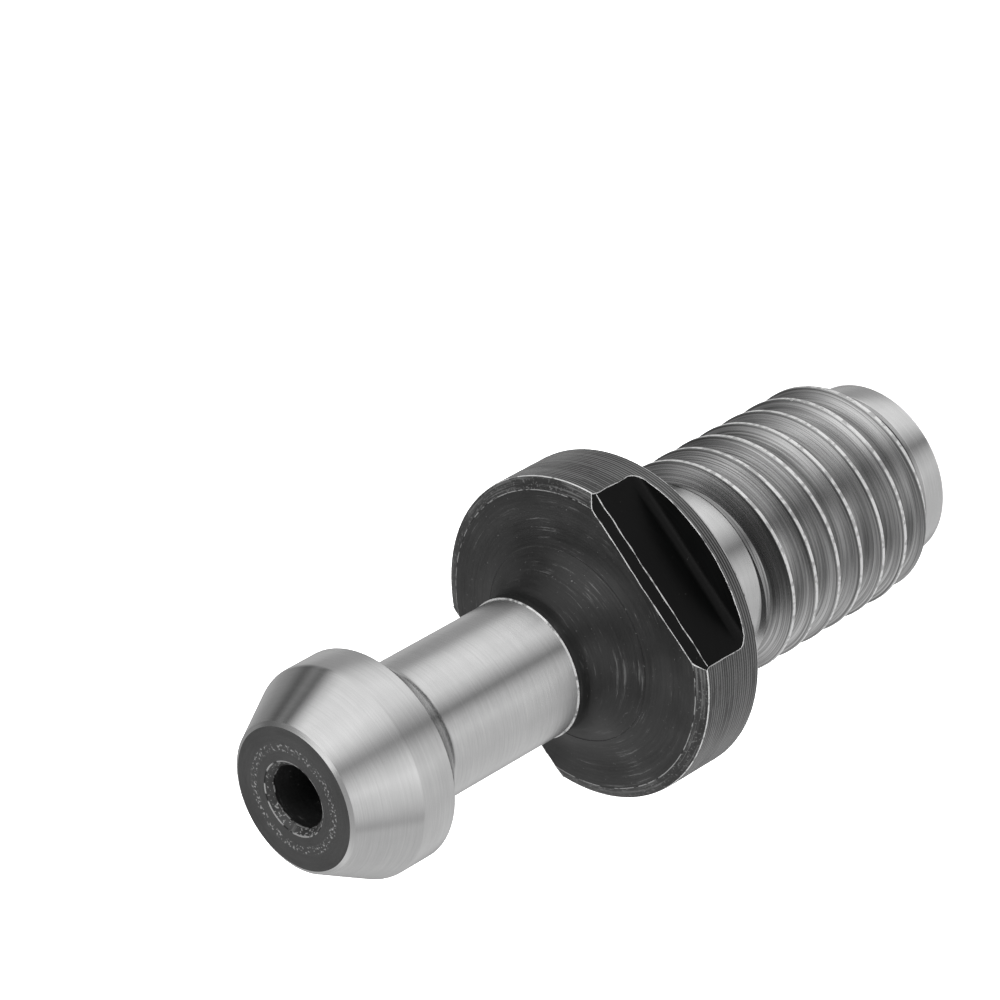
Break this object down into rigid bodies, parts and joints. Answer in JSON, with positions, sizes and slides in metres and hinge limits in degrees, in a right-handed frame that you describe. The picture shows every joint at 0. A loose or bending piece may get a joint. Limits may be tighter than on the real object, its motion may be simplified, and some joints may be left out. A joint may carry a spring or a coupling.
{
  "type": "pull stud",
  "caption": "One-piece turned pull stud: coned gripping head on a ground neck, flange with two spanner flats, threaded shank and a coolant bore through its length.",
  "frame": {"origin": "centre of the threaded end face, which is the bottom of the stud where it stands", "axes": "+Z along the stud's axis from the threaded end to the head; the two spanner flats face -Y and +Y"},
  "size_m": [0.0172, 0.0172, 0.0424],
  "materials": {
    "alloy_steel": "case-hardened alloy steel, head, neck and thread bright ground, flange and end face black oxide"
  },
  "bodies": {
    "root": {"pull_stud": "alloy_steel"}
  },
  "joints": []
}
